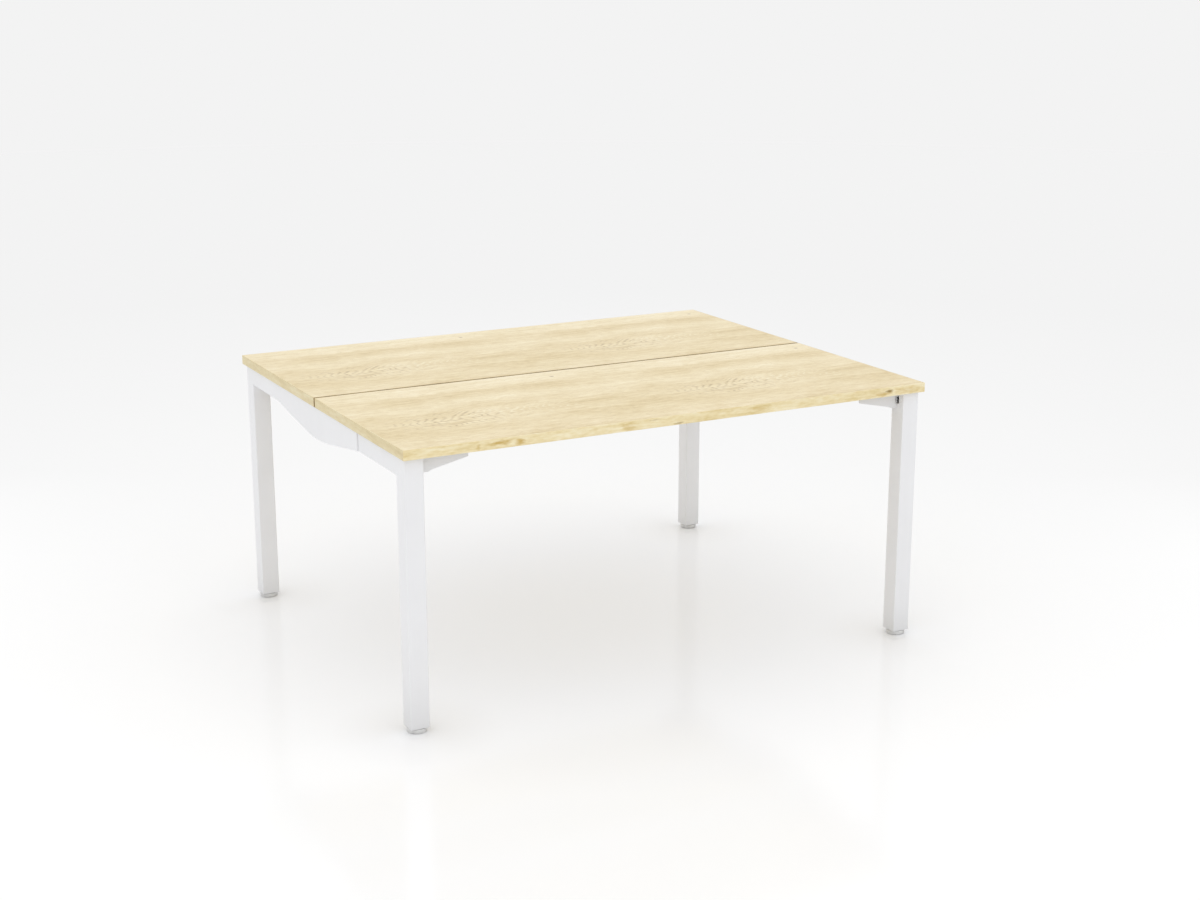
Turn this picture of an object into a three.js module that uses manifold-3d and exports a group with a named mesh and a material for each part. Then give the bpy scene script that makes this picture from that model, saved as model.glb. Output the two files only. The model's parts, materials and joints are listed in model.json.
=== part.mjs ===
// Benching desk for two: a pair of oak-faced worktops set back to back on one white steel frame.
// Each end of the frame is two half frames, a leg and an arm, spliced in the middle by a bridge plate.
// Two beams run between the ends, a tapered bracket stiffens each outer corner, and screw feet level it.
// Millimetres, +Z up, +X along the worktops. The origin is on the floor under the middle of the desk.
import * as THREE from 'three';
import { mergeVertices } from 'three/addons/utils/BufferGeometryUtils.js';
import Module from 'manifold-3d';

const wasm = await Module();
wasm.setup();

// Worktops
const worktopLength = 1500;
const worktopDepth = 600;
const worktopThickness = 25;
const worktopGap = 5; // slot between the two worktops
const deskHeight = 716; // floor to worktop, feet wound fully in
const edgingThickness = 2;
const edgingRadius = 0.6; // softened outer corners of the edging strip

// Legs and arms
const legSize = 50;
const legWall = 2;
const legCornerRadius = 3;
const legCapThickness = 3; // plate welded into the top of the leg
const legEndInset = 7; // worktop end to leg
const legFrontInset = 16; // worktop front edge to leg
const armDepth = 50;
const armWidth = 30;
const armWall = 2;
const armCornerRadius = 3;
const armJointGap = 2; // between the ends of two arms that meet in the middle

// Bridge plates
const bridgeLength = 584;
const bridgeThickness = 3;
const bridgeTopGap = 1; // worktop to plate
const bridgeDrop = 35; // how far the middle hangs below the arms
const bridgeKneeSpan = 90; // between the two knees of the lower edge
const bridgeMiddleFlat = 8; // level stretch left between the arcs of the two knees
const bridgeEndFlat = 8; // level stretch of the lower edge at each end
const bridgeEndRadius = 70;
const bridgeBoltInnerY = 60; // from the middle of the desk
const bridgeBoltEndInset = 62; // from the end of the plate
const bridgeBossDiameter = 15; // threaded boss welded to the plate, let into the arm
const bridgeBossLength = 12;

// Beams
const beamDepth = 50;
const beamWidth = 30;
const beamWall = 2;
const beamCornerRadius = 3;
const beamPlateLength = 90;
const beamPlateThickness = 5;
const beamPlateCornerRadius = 6;
const beamBoltSpacing = 60;
const beamScrewCount = 4; // worktop screws along one beam
const beamScrewInset = 110; // from the end plate
const screwHoleDiameter = 5.5;
const screwAccessDiameter = 12; // lets a driver through the lower wall

// Corner brackets, folded from sheet
const bracketReach = 125;
const bracketSheet = 2.5;
const bracketFoldRadius = 1; // inside of the folds
const bracketSocketRoom = 1.5; // between the bolt's flange and the cheeks
const bracketHeelDepth = 45;
const bracketHeelLength = 22;
const bracketStepRun = 7; // slanted step between heel and taper
const bracketStepRise = 4;
const bracketTipDepth = 20;
const bracketTipRadius = 2;
const bracketHeelRadius = 2;
const bracketLipDepth = 18; // inner cheek, a level lip
const bracketReliefWidth = 6.5; // slot in the outer cheek beside the leg
const bracketReliefRoom = 1; // the slot goes this much deeper than the sheet, so the end tab stands clear
const bracketReliefTop = 13;
const bracketReliefBottom = 35;
const bracketBoltDepth = 24; // worktop to bolt
const bracketScrewInset = 25; // from the tip
const bracketScrewSpacing = 55;

// Hex flange bolts and the threaded bosses that take them
const boltDiameter = 8;
const boltHexFlats = 13;
const boltHeadHeight = 7;
const boltFlangeDiameter = 16;
const boltFlangeThickness = 1.6;
const boltEngagement = 9; // length of bolt inside its boss
const bossDiameter = 14;
const bossLength = 10;
const boltHoleClearance = 0.5; // on the radius, where a bolt passes a wall
const threadClearance = 0.3; // on the radius, thread to thread

// Screw feet
const padDiameter = 47;
const padHeight = 10.5;
const padEdgeRadius = 2.5;
const padLipRise = 2.5; // raised lip round the hub
const padLipWidth = 4;
const padHubDiameter = 20;
const padFloor = 2.5; // below the socket
const socketDiameter = 11.6;
const socketHeight = 5.8;
const socketNeckDiameter = 8.8;
const stemDiameter = 10;
const stemHexFlats = 17;
const stemHexHeight = 3.9;
const stemLength = 45; // thread above the hexagon
const stemTipChamfer = 1.5;
const plugLength = 30;
const plugWall = 2.5;
const plugFloor = 5;
const plugBossDiameter = 20;

// Clearances
const seatGap = 0.3; // between pieces that bear on each other
const weldGap = 0.1; // between tubes that are welded together
const glueGap = 0.1; // between board and edging

// Number of straight pieces that a round is drawn with
const tubeCornerPieces = 1;
const plateCurvePieces = 4;
const hexSides = 6;
const holeSides = 12;
const boltSides = 10;
const stemSides = 16;
const padSides = 30;

// Planes that the pieces share, for the corner at +X +Y
const totalDepth = 2 * worktopDepth + worktopGap;
const footHeight = padHeight + stemHexHeight + 2 * seatGap; // floor to end of leg
const underside = deskHeight - worktopThickness;
const frameTop = underside - seatGap;
const legOuterX = worktopLength / 2 - legEndInset;
const legInnerX = legOuterX - legSize;
const legOuterY = totalDepth / 2 - legFrontInset;
const legInnerY = legOuterY - legSize;
const legCentreX = legOuterX - legSize / 2;
const legCentreY = legOuterY - legSize / 2;
const armInnerX = legOuterX - armWidth;
const armCentreZ = frameTop - armDepth / 2;
const legBoreRadius = Math.max(legCornerRadius - legWall, 0);
const bridgeBoltOuterY = bridgeLength / 2 - bridgeBoltEndInset;
const bridgeBoltYs = [bridgeBoltInnerY, bridgeBoltOuterY];
const beamOffset = (bridgeBoltInnerY + bridgeBoltOuterY) / 2; // midway between two splice bolts
const beamBoltYs = [beamOffset - beamBoltSpacing / 2, beamOffset + beamBoltSpacing / 2];
const beamEndX = armInnerX - seatGap;
const beamSeatX = beamEndX - beamPlateThickness;
const bridgeSeatX = legOuterX + seatGap;
const bracketEndX = legInnerX - seatGap;
const bracketSeatX = bracketEndX - bracketSheet;
const bracketWidth = boltFlangeDiameter + 2 * (bracketSocketRoom + bracketSheet);
const bracketCentreY = legInnerY + bracketWidth / 2; // flush with the leg's inner side
const bracketBoltZ = underside - bracketBoltDepth;

const materials = {
  oakBoard: new THREE.MeshStandardMaterial({ color: 0xe6d2a8, roughness: 0.5, metalness: 0 }),
  oakEdging: new THREE.MeshStandardMaterial({ color: 0xdfc898, roughness: 0.45, metalness: 0 }),
  whitePaint: new THREE.MeshStandardMaterial({ color: 0xf1f1ef, roughness: 0.45, metalness: 0 }),
  greyNylon: new THREE.MeshStandardMaterial({ color: 0xb4b4b2, roughness: 0.55, metalness: 0 }),
  zincSteel: new THREE.MeshStandardMaterial({ color: 0xb8bbbf, roughness: 0.35, metalness: 1 }),
};

// Solids: a closed geometry becomes a solid that can be joined and cut, and turns back into a geometry.
function solidOf(geometry) {
  const bare = geometry.clone();
  bare.deleteAttribute('normal');
  bare.deleteAttribute('uv');
  const merged = mergeVertices(bare, 1e-4);
  const vertProperties = new Float32Array(merged.attributes.position.array);
  const triVerts = new Uint32Array(merged.index.array);
  return new wasm.Manifold(new wasm.Mesh({ numProp: 3, vertProperties, triVerts }));
}

function geometryOf(solid) {
  const mesh = solid.getMesh();
  const geometry = new THREE.BufferGeometry();
  geometry.setAttribute('position', new THREE.BufferAttribute(new Float32Array(mesh.vertProperties), 3));
  geometry.setIndex(new THREE.BufferAttribute(new Uint32Array(mesh.triVerts), 1));
  geometry.computeVertexNormals();
  return geometry;
}

function joined(solid, ...others) {
  return others.reduce((whole, other) => whole.add(other), solid);
}

function cutBy(solid, ...tools) {
  return tools.reduce((whole, tool) => whole.subtract(tool), solid);
}

// An outline through corners [x, y, radius], each rounded by a tangent arc.
function roundedOutline(corners, path = new THREE.Shape()) {
  const count = corners.length;
  corners.forEach(([x, y, radius], index) => {
    const corner = new THREE.Vector2(x, y);
    const before = new THREE.Vector2(...corners[(index + count - 1) % count]);
    const after = new THREE.Vector2(...corners[(index + 1) % count]);
    const towardsBefore = before.sub(corner).normalize();
    const towardsAfter = after.sub(corner).normalize();
    const halfAngle = Math.acos(towardsBefore.dot(towardsAfter)) / 2;
    const start = corner.clone().addScaledVector(towardsBefore, radius / Math.tan(halfAngle));
    if (index === 0) path.moveTo(start.x, start.y);
    else path.lineTo(start.x, start.y);
    if (radius === 0) return;
    const end = corner.clone().addScaledVector(towardsAfter, radius / Math.tan(halfAngle));
    const inwards = towardsBefore.clone().add(towardsAfter).normalize();
    const centre = corner.clone().addScaledVector(inwards, radius / Math.sin(halfAngle));
    const fromAngle = Math.atan2(start.y - centre.y, start.x - centre.x);
    const toAngle = Math.atan2(end.y - centre.y, end.x - centre.x);
    const clockwise = towardsBefore.cross(towardsAfter) > 0;
    path.absarc(centre.x, centre.y, radius, fromAngle, toAngle, clockwise);
  });
  path.closePath();
  return path;
}

function rectangleCorners(width, height, radius) {
  const halfWidth = width / 2;
  const halfHeight = height / 2;
  return [
    [-halfWidth, -halfHeight, radius],
    [halfWidth, -halfHeight, radius],
    [halfWidth, halfHeight, radius],
    [-halfWidth, halfHeight, radius],
  ];
}

function extruded(shape, length, curveSegments = tubeCornerPieces) {
  return new THREE.ExtrudeGeometry(shape, { depth: length, bevelEnabled: false, curveSegments });
}

// Turns an extrusion so that its section's x, its section's y and its length lie along three axes.
function turned(geometry, sectionX, sectionY, along) {
  const axes = [sectionX, sectionY, along].map((axis) => new THREE.Vector3(...axis));
  return geometry.applyMatrix4(new THREE.Matrix4().makeBasis(...axes));
}

const axisX = [1, 0, 0];
const axisY = [0, 1, 0];
const axisZ = [0, 0, 1];
const axisMinusX = [-1, 0, 0];
const axisMinusY = [0, -1, 0];
const axisMinusZ = [0, 0, -1];

function tubeSection(width, height, wall, radius) {
  const section = roundedOutline(rectangleCorners(width, height, radius));
  const innerRadius = Math.max(radius - wall, 0);
  const bore = rectangleCorners(width - 2 * wall, height - 2 * wall, innerRadius);
  section.holes.push(roundedOutline(bore, new THREE.Path()));
  return section;
}

// A round bar along X, from one x to another, at a height and a depth.
function barAlongX(diameter, fromX, toX, y, z, sides = holeSides) {
  const length = Math.abs(toX - fromX);
  const bar = new THREE.CylinderGeometry(diameter / 2, diameter / 2, length, sides);
  bar.rotateZ(Math.PI / 2).translate((fromX + toX) / 2, y, z);
  return solidOf(bar);
}

function barAlongZ(diameter, fromZ, toZ, x, y, sides = holeSides) {
  const bar = new THREE.CylinderGeometry(diameter / 2, diameter / 2, toZ - fromZ, sides);
  bar.rotateX(Math.PI / 2).translate(x, y, (fromZ + toZ) / 2);
  return solidOf(bar);
}

function blockBetween([x0, y0, z0], [x1, y1, z1]) {
  const block = new THREE.BoxGeometry(x1 - x0, y1 - y0, z1 - z0);
  return block.translate((x0 + x1) / 2, (y0 + y1) / 2, (z0 + z1) / 2);
}

// A figure turned about the Z axis from a profile of [radius, height].
function revolved(profile, sides) {
  const points = profile.map(([radius, height]) => new THREE.Vector2(radius, height));
  return new THREE.LatheGeometry(points, sides).rotateX(Math.PI / 2);
}

const boltHoleDiameter = boltDiameter + 2 * boltHoleClearance;
const threadedHoleDiameter = boltDiameter + 2 * threadClearance;

// Worktops: a faced board with a strip of edging glued to each of its four sides.
const boardOuterY = totalDepth / 2 - edgingThickness - glueGap;
const boardInnerY = worktopGap / 2 + edgingThickness + glueGap;
const boardEndX = worktopLength / 2 - edgingThickness - glueGap;

function worktopBoard() {
  return blockBetween([-boardEndX, boardInnerY, underside], [boardEndX, boardOuterY, deskHeight]);
}

// The strip's section has its glued side at x = 0 and its softened side at x = edgingThickness.
function edgingStrip(length) {
  const halfThickness = worktopThickness / 2;
  const radius = Math.min(edgingRadius, edgingThickness - glueGap);
  const section = roundedOutline([
    [0, -halfThickness, 0],
    [edgingThickness, -halfThickness, radius],
    [edgingThickness, halfThickness, radius],
    [0, halfThickness, 0],
  ]);
  return extruded(section, length);
}

const edgingZ = underside + worktopThickness / 2;

function outerEdging() {
  const strip = turned(edgingStrip(worktopLength), axisY, axisZ, axisX);
  return strip.translate(-worktopLength / 2, totalDepth / 2 - edgingThickness, edgingZ);
}

function innerEdging() {
  const strip = turned(edgingStrip(worktopLength), axisMinusY, axisZ, axisMinusX);
  return strip.translate(worktopLength / 2, worktopGap / 2 + edgingThickness, edgingZ);
}

function endEdging() {
  const strip = turned(edgingStrip(boardOuterY - boardInnerY), axisX, axisMinusZ, axisY);
  return strip.translate(worktopLength / 2 - edgingThickness, boardInnerY, edgingZ);
}

// Leg: square tube with a welded cap, open below for the foot's plug.
function leg() {
  const length = frameTop - footHeight;
  const tube = extruded(tubeSection(legSize, legSize, legWall, legCornerRadius), length);
  tube.translate(legCentreX, legCentreY, footHeight);
  const capOutline = roundedOutline(rectangleCorners(legSize, legSize, legCornerRadius));
  const cap = extruded(capOutline, legCapThickness);
  cap.translate(legCentreX, legCentreY, frameTop - legCapThickness);
  const [y, z] = [bracketCentreY, bracketBoltZ];
  const boss = barAlongX(bossDiameter, legInnerX, legInnerX + legWall + bossLength, y, z);
  const bore = barAlongX(threadedHoleDiameter, bracketEndX, legOuterX - legWall, y, z);
  return geometryOf(cutBy(joined(solidOf(tube), solidOf(cap), boss), bore));
}

// Arm: tube along Y under the worktop, from the leg to the middle of the desk.
function arm() {
  const fromY = armJointGap / 2;
  const length = legInnerY - weldGap - fromY;
  const section = tubeSection(armWidth, armDepth, armWall, armCornerRadius);
  const tube = turned(extruded(section, length), axisMinusX, axisZ, axisY);
  const placedTube = solidOf(tube.translate(legOuterX - armWidth / 2, fromY, armCentreZ));
  const innerWall = armInnerX + armWall;
  const outerWall = legOuterX - armWall;
  const recessDiameter = bridgeBossDiameter + 2 * boltHoleClearance;
  const row = (ys, diameter, fromX, toX) => ys.map((y) => barAlongX(diameter, fromX, toX, y, armCentreZ));
  const bosses = row(beamBoltYs, bossDiameter, armInnerX, innerWall + bossLength);
  const threads = row(beamBoltYs, threadedHoleDiameter, beamEndX, outerWall);
  const passages = row(bridgeBoltYs, boltHoleDiameter, beamEndX, outerWall);
  const recesses = row(bridgeBoltYs, recessDiameter, innerWall, bridgeSeatX);
  return geometryOf(cutBy(joined(placedTube, ...bosses), ...threads, ...passages, ...recesses));
}

// Bridge plate: splices the two arms of one end, deepest in the middle where the bending is greatest.
function bridgePlate() {
  const topZ = underside - bridgeTopGap;
  const endZ = frameTop - armDepth;
  const middleZ = endZ - bridgeDrop;
  const halfLength = bridgeLength / 2;
  const halfKnee = bridgeKneeSpan / 2;
  const slope = Math.atan2(bridgeDrop, halfLength - bridgeEndFlat - halfKnee);
  const kneeRadius = (halfKnee - bridgeMiddleFlat / 2) / Math.tan(slope / 2);
  const outline = roundedOutline([
    [-halfLength, endZ, 0],
    [-halfLength + bridgeEndFlat, endZ, bridgeEndRadius],
    [-halfKnee, middleZ, kneeRadius],
    [halfKnee, middleZ, kneeRadius],
    [halfLength - bridgeEndFlat, endZ, bridgeEndRadius],
    [halfLength, endZ, 0],
    [halfLength, topZ, 0],
    [-halfLength, topZ, 0],
  ]);
  const plate = turned(extruded(outline, bridgeThickness, plateCurvePieces), axisY, axisZ, axisX);
  const placedPlate = solidOf(plate.translate(bridgeSeatX, 0, 0));
  const boltYs = [...bridgeBoltYs, ...bridgeBoltYs.map((y) => -y)];
  const bossEnd = bridgeSeatX - bridgeBossLength;
  const rootX = bridgeSeatX + bridgeThickness / 2;
  const row = (diameter, fromX, toX) => boltYs.map((y) => barAlongX(diameter, fromX, toX, y, armCentreZ));
  const bosses = row(bridgeBossDiameter, bossEnd, rootX);
  const threads = row(threadedHoleDiameter, bossEnd - seatGap, bridgeSeatX);
  return geometryOf(cutBy(joined(placedPlate, ...bosses), ...threads));
}

// Beam: tube along X with a plate welded to each end, drilled for its bolts and for worktop screws.
function beam() {
  const tubeLength = 2 * beamSeatX;
  const section = tubeSection(beamWidth, beamDepth, beamWall, beamCornerRadius);
  const tube = turned(extruded(section, tubeLength), axisY, axisZ, axisX);
  const beamZ = frameTop - beamDepth / 2;
  const placedTube = solidOf(tube.translate(-beamSeatX, beamOffset, beamZ));
  const plateSection = roundedOutline(rectangleCorners(beamPlateLength, beamDepth, beamPlateCornerRadius));
  const plate = turned(extruded(plateSection, beamPlateThickness), axisY, axisZ, axisX);
  const plates = [beamSeatX, -beamEndX].map((x) => solidOf(plate.clone().translate(x, beamOffset, beamZ)));
  const ends = [1, -1].flatMap((side) => beamBoltYs.map((y) => [side, y]));
  const boltHoles = ends.map(([side, y]) => {
    const [fromX, toX] = [side * (beamSeatX - seatGap), side * (beamEndX + seatGap)];
    return barAlongX(boltHoleDiameter, fromX, toX, y, armCentreZ);
  });
  const lastScrewX = beamSeatX - beamScrewInset;
  const screwPitch = 2 * lastScrewX / (beamScrewCount - 1);
  const screwXs = Array.from({ length: beamScrewCount }, (_, index) => index * screwPitch - lastScrewX);
  const lowerWall = frameTop - beamDepth;
  const screwHoles = screwXs.flatMap((x) => [
    barAlongZ(screwHoleDiameter, beamZ, underside, x, beamOffset),
    barAlongZ(screwAccessDiameter, lowerWall - seatGap, beamZ, x, beamOffset),
  ]);
  return geometryOf(cutBy(joined(placedTube, ...plates), ...boltHoles, ...screwHoles));
}

// Corner bracket: a folded channel, open below, with an end tab against the leg. The outer cheek is deep at
// the leg and tapers to the tip, and the inner one is a level lip.
// The section has the top face at y = 0 and the cheeks hanging from it.
function foldSection(width, depth, foldRadius) {
  const halfWidth = width / 2;
  return roundedOutline([
    [-halfWidth, -depth, 0],
    [halfWidth, -depth, 0],
    [halfWidth, 0, foldRadius],
    [-halfWidth, 0, foldRadius],
  ]);
}

function bracket() {
  const taperDepth = bracketHeelDepth - bracketStepRise;
  const outline = roundedOutline([
    [0, 0, 0],
    [bracketReach, 0, 0],
    [bracketReach, bracketTipDepth, bracketTipRadius],
    [bracketHeelLength + bracketStepRun, taperDepth, bracketHeelRadius],
    [bracketHeelLength, bracketHeelDepth, bracketHeelRadius],
    [0, bracketHeelDepth, 0],
  ]);
  const block = turned(extruded(outline, bracketWidth), axisMinusX, axisMinusZ, axisMinusY);
  const frontY = bracketCentreY + bracketWidth / 2;
  const backY = bracketCentreY - bracketWidth / 2;
  const placedBlock = solidOf(block.translate(bracketEndX, frontY, frameTop));
  const tipX = bracketEndX - bracketReach;
  const pastTip = tipX - seatGap;
  const pastHeel = bracketHeelDepth + seatGap;
  const prism = (section, toX, topZ) => {
    const bar = turned(extruded(section, toX - pastTip), axisY, axisZ, axisX);
    return solidOf(bar.translate(pastTip, bracketCentreY, topZ));
  };
  const outside = foldSection(bracketWidth, pastHeel, bracketFoldRadius + bracketSheet);
  const inside = foldSection(bracketWidth - 2 * bracketSheet, pastHeel, bracketFoldRadius);
  const folded = placedBlock.intersect(prism(outside, legInnerX, frameTop));
  const channel = prism(inside, bracketSeatX, frameTop - bracketSheet);
  const reliefBackY = frontY - bracketSheet - bracketReliefRoom;
  const relief = solidOf(
    blockBetween(
      [bracketEndX - bracketReliefWidth, reliefBackY, frameTop - bracketReliefBottom],
      [legInnerX, frontY + seatGap, frameTop - bracketReliefTop],
    ),
  );
  const belowLip = solidOf(
    blockBetween(
      [pastTip, backY - seatGap, frameTop - pastHeel],
      [bracketSeatX, bracketCentreY, frameTop - bracketLipDepth],
    ),
  );
  const tabInside = bracketSeatX - seatGap;
  const boltHole = barAlongX(boltHoleDiameter, tabInside, legInnerX, bracketCentreY, bracketBoltZ);
  const screwXs = [tipX + bracketScrewInset, tipX + bracketScrewInset + bracketScrewSpacing];
  const screwHoles = screwXs.map((x) =>
    barAlongZ(screwHoleDiameter, frameTop - 2 * bracketSheet, underside, x, bracketCentreY),
  );
  return geometryOf(cutBy(folded, channel, belowLip, relief, boltHole, ...screwHoles));
}

// Hex flange bolt along +X: the flange bears on a seat, and the shank runs on from it.
function bolt(seatX, tipX, y, z) {
  const radius = boltDiameter / 2;
  const flangeX = seatX - seatGap;
  const shankLength = tipX - flangeX;
  const body = revolved(
    [
      [0, -boltFlangeThickness],
      [boltFlangeDiameter / 2, -boltFlangeThickness],
      [boltFlangeDiameter / 2, 0],
      [radius, 0],
      [radius, shankLength],
      [0, shankLength],
    ],
    boltSides,
  );
  const hexRadius = boltHexFlats / 2 / Math.cos(Math.PI / hexSides);
  const head = new THREE.CylinderGeometry(hexRadius, hexRadius, boltHeadHeight, hexSides);
  head.rotateX(Math.PI / 2).translate(0, 0, -(boltFlangeThickness + boltHeadHeight) / 2);
  const whole = geometryOf(joined(solidOf(body), solidOf(head)));
  return turned(whole, axisY, axisZ, axisX).translate(flangeX, y, z);
}

function bracketBolt() {
  return bolt(bracketSeatX, legInnerX + legWall + boltEngagement, bracketCentreY, bracketBoltZ);
}

function beamBolt(y) {
  return bolt(beamSeatX, armInnerX + armWall + boltEngagement, y, armCentreZ);
}

function bridgeBolt(y) {
  return bolt(armInnerX, bridgeSeatX - bridgeBossLength + boltEngagement, y, armCentreZ);
}

// Foot plug: moulded cup pressed into the end of the leg, with a threaded boss on its floor.
function footPlug() {
  const outside = legSize - 2 * legWall - 2 * seatGap;
  const cornerRadius = legBoreRadius + seatGap;
  const cup = solidOf(extruded(tubeSection(outside, outside, plugWall, cornerRadius), plugLength));
  const floorOutline = roundedOutline(rectangleCorners(outside, outside, cornerRadius));
  const floor = solidOf(extruded(floorOutline, plugFloor));
  const boss = barAlongZ(plugBossDiameter, 0, plugLength, 0, 0, stemSides);
  const bore = barAlongZ(stemDiameter + 2 * threadClearance, -seatGap, plugLength + seatGap, 0, 0, stemSides);
  const plug = cutBy(joined(cup, floor, boss), bore);
  return geometryOf(plug.translate([legCentreX, legCentreY, footHeight]));
}

// Foot stem: a button held in the pad's socket, a hexagon for the spanner and a thread into the plug.
function footStem() {
  const radius = stemDiameter / 2;
  const buttonRadius = socketDiameter / 2 - seatGap;
  const buttonBottom = padFloor + seatGap;
  const buttonTop = padFloor + socketHeight - seatGap;
  const neckRadius = socketNeckDiameter / 2 - 2 * seatGap;
  const hexBottom = padHeight + seatGap;
  const tip = footHeight + stemLength;
  const body = revolved(
    [
      [0, buttonBottom],
      [buttonRadius - stemTipChamfer, buttonBottom],
      [buttonRadius, buttonBottom + stemTipChamfer],
      [buttonRadius, buttonTop],
      [neckRadius, buttonTop],
      [neckRadius, hexBottom],
      [radius, hexBottom],
      [radius, tip - stemTipChamfer],
      [radius - stemTipChamfer, tip],
      [0, tip],
    ],
    stemSides,
  );
  const hexRadius = stemHexFlats / 2 / Math.cos(Math.PI / hexSides);
  const hexagon = barAlongZ(2 * hexRadius, hexBottom, hexBottom + stemHexHeight, 0, 0, hexSides);
  return geometryOf(joined(solidOf(body), hexagon).translate([legCentreX, legCentreY, 0]));
}

// Foot pad: moulded disc, dished on top, with a socket that traps the stem's button.
function footPad() {
  const radius = padDiameter / 2;
  const lipTop = padHeight + padLipRise;
  const socketTop = padFloor + socketHeight;
  const edge = (centreZ, fromDegrees, toDegrees) =>
    [0, 0.5, 1].map((share) => {
      const angle = THREE.MathUtils.degToRad(fromDegrees + share * (toDegrees - fromDegrees));
      const across = padEdgeRadius * (Math.cos(angle) - 1);
      return [radius + across, centreZ + padEdgeRadius * Math.sin(angle)];
    });
  const profile = [
    [0, 0],
    ...edge(padEdgeRadius, -90, 0),
    ...edge(lipTop - padEdgeRadius, 0, 90),
    [radius - padLipWidth, lipTop],
    [padHubDiameter / 2, padHeight],
    [socketNeckDiameter / 2, padHeight],
    [socketNeckDiameter / 2, socketTop],
    [socketDiameter / 2, socketTop],
    [socketDiameter / 2, padFloor],
    [0, padFloor],
  ];
  return revolved(profile, padSides).translate(legCentreX, legCentreY, 0);
}

// Assembly: pieces are made for the +X +Y corner and mirrored into the others.
const desk = new THREE.Group();
const ends = [
  { name: 'left', side: -1 },
  { name: 'right', side: 1 },
];
const rows = [
  { name: 'front', side: -1 },
  { name: 'rear', side: 1 },
];

function mirroredGroup(sideX, sideY) {
  const group = new THREE.Group();
  group.scale.set(sideX, sideY, 1);
  desk.add(group);
  return group;
}

function place(group, name, geometry, material) {
  const mesh = new THREE.Mesh(geometry, material);
  mesh.name = name;
  group.add(mesh);
}

for (const row of rows) {
  const group = mirroredGroup(1, row.side);
  place(group, `${row.name}_worktop`, worktopBoard(), materials.oakBoard);
  place(group, `${row.name}_worktop_outer_edging`, outerEdging(), materials.oakEdging);
  place(group, `${row.name}_worktop_inner_edging`, innerEdging(), materials.oakEdging);
  place(group, `${row.name}_beam`, beam(), materials.whitePaint);
}

for (const end of ends) {
  const endGroup = mirroredGroup(end.side, 1);
  place(endGroup, `${end.name}_bridge_plate`, bridgePlate(), materials.whitePaint);
  for (const row of rows) {
    const corner = `${row.name}_${end.name}`;
    const group = mirroredGroup(end.side, row.side);
    place(group, `${row.name}_worktop_${end.name}_edging`, endEdging(), materials.oakEdging);
    place(group, `${corner}_leg`, leg(), materials.whitePaint);
    place(group, `${corner}_arm`, arm(), materials.whitePaint);
    place(group, `${corner}_bracket`, bracket(), materials.whitePaint);
    place(group, `${corner}_bracket_bolt`, bracketBolt(), materials.zincSteel);
    place(group, `${corner}_beam_bolt_inner`, beamBolt(beamBoltYs[0]), materials.zincSteel);
    place(group, `${corner}_beam_bolt_outer`, beamBolt(beamBoltYs[1]), materials.zincSteel);
    place(group, `${corner}_bridge_bolt_inner`, bridgeBolt(bridgeBoltInnerY), materials.zincSteel);
    place(group, `${corner}_bridge_bolt_outer`, bridgeBolt(bridgeBoltOuterY), materials.zincSteel);
    place(group, `${corner}_foot_plug`, footPlug(), materials.greyNylon);
    place(group, `${corner}_foot_stem`, footStem(), materials.zincSteel);
    place(group, `${corner}_foot_pad`, footPad(), materials.greyNylon);
  }
}

export default desk;
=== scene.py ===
import json
import math

import bmesh
import bpy
from mathutils import Matrix, Vector

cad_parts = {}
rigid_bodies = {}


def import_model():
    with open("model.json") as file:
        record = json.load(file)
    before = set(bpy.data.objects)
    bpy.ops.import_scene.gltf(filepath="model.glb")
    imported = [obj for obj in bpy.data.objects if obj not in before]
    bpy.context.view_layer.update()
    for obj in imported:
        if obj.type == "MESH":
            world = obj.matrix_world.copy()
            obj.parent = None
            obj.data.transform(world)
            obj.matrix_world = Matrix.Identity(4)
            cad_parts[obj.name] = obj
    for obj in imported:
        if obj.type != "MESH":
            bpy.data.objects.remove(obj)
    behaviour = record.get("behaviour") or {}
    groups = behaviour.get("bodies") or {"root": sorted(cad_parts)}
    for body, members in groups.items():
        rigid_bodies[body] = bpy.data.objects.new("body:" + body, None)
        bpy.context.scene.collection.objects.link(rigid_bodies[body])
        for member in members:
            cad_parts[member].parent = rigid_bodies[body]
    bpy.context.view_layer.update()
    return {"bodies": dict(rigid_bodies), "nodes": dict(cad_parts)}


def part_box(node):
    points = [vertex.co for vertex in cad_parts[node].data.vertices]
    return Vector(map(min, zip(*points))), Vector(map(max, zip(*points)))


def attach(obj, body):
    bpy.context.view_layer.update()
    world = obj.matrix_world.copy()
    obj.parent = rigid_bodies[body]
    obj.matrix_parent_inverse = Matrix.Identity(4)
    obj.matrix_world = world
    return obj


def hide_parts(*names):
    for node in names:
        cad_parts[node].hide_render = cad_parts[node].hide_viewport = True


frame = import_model()
scene = bpy.context.scene
scene.view_settings.view_transform = "Standard"

mm = 0.001
xAxis, yAxis, zAxis = Vector((1, 0, 0)), Vector((0, 1, 0)), Vector((0, 0, 1))
rows = {"front": -1, "rear": 1}
ends = {"left": -1, "right": 1}
corners = [(f"{row}_{end}", f"{row}{end.title()}", rowSide, endSide)
           for row, rowSide in rows.items() for end, endSide in ends.items()]
print("frame loaded:", len(frame["nodes"]), "CAD nodes")


# materials

def linear(hexColour):
    parts = [int(hexColour[i:i + 2], 16) / 255 for i in (1, 3, 5)]
    return [c / 12.92 if c <= 0.04045 else ((c + 0.055) / 1.055) ** 2.4 for c in parts] + [1]


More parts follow.
